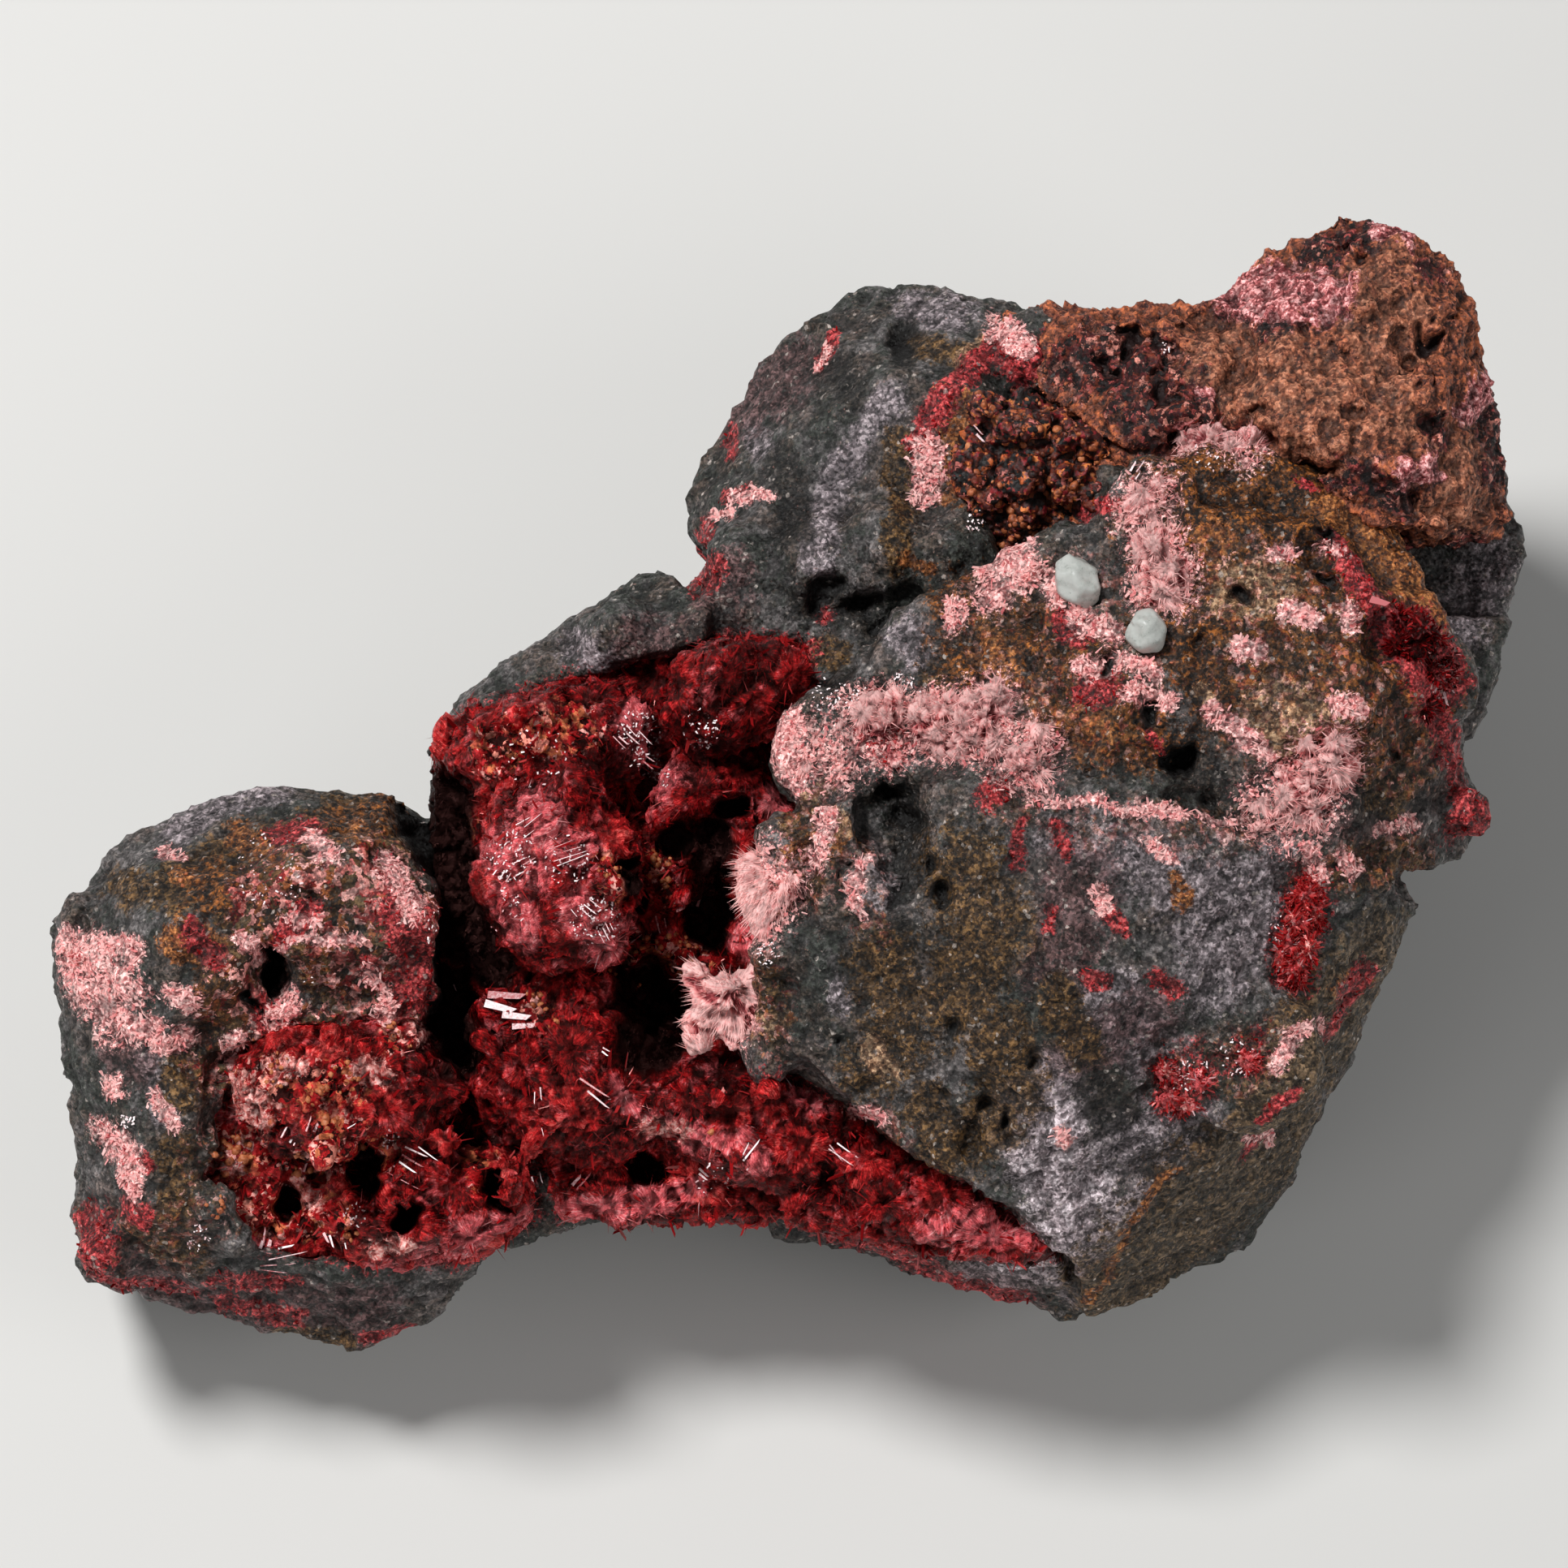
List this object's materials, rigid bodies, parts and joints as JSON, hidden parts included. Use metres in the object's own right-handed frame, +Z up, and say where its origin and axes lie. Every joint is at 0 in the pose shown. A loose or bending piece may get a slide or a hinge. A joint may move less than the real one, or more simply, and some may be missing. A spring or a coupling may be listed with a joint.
{
  "type": "erythrite mineral specimen",
  "caption": "Natural mineral specimen: grey host rock with a hollow lined by crimson erythrite crystals, pale pink sprays and a cap of pitted brown ore, resting on a flat underside.",
  "frame": {"origin": "centre of the bounding box in plan, on the flat underside", "axes": "+X along the specimen's length towards the brown ore, +Z up from the underside to the crystal side"},
  "size_m": [0.0734, 0.0442, 0.0286],
  "materials": {
    "rock": "rough broken stone, grey with olive-brown stains",
    "ore": "sugary, pitted, red-brown and dull",
    "crimson": "glassy, partly see-through crystals with bright cleavage faces",
    "rust_grains": "waxy rounded grains, orange to dark brown",
    "pink": "silky fibres, pale pink",
    "quartz": "cloudy pale grey-green, waxy"
  },
  "bodies": {
    "root": {"host_rock": "rock", "brown_ore_mass": "ore", "crimson_crystal_crust": "crimson", "rust_pocket_crust": "rust_grains", "pink_fan_upper": "pink", "pink_fan_lower": "pink", "pink_band": "pink", "pink_spray_east": "pink", "pink_spray_north": "pink", "pink_spray_top": "pink", "crimson_patch": "crimson", "crimson_vein": "crimson", "rim_crystals": "crimson", "quartz_grain_large": "quartz", "quartz_grain_small": "quartz"}
  },
  "joints": []
}
